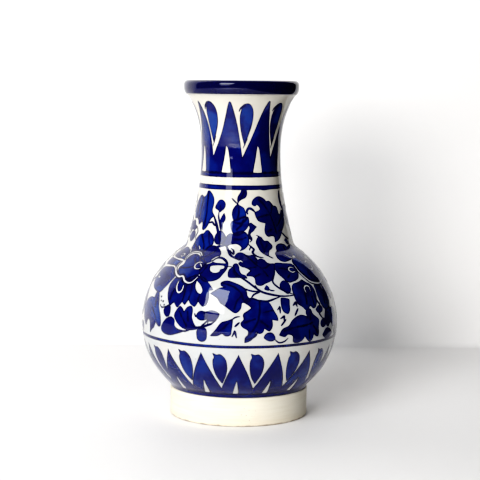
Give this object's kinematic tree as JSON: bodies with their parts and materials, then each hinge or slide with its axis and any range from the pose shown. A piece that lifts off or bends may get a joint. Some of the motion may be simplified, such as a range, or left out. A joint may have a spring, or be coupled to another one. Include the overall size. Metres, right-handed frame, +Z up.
{
  "type": "pottery vase",
  "caption": "Footed pottery vase with a round belly, a waisted neck and a rolled lip, open at the mouth and hollow inside.",
  "frame": {"origin": "centre of the foot's standing face", "axes": "+Z up along the axis of the vase, -Y towards the painted front"},
  "size_m": [0.1492, 0.1492, 0.254],
  "materials": {
    "white_glaze": "clear gloss glaze over white slip",
    "cobalt_glaze": "cobalt brushwork under clear gloss glaze",
    "biscuit": "unglazed, wiped smooth, matt",
    "slip": "fired joining slip, matt"
  },
  "bodies": {
    "root": {"foot_ring": "biscuit", "floor_slab": "white_glaze", "lower_bowl": "white_glaze", "upper_bowl": "white_glaze", "neck": "white_glaze", "lip_coil": "cobalt_glaze", "floor_slip": "slip", "foot_slip": "slip", "belly_slip": "slip", "neck_slip": "slip", "lip_slip": "slip"}
  },
  "joints": []
}
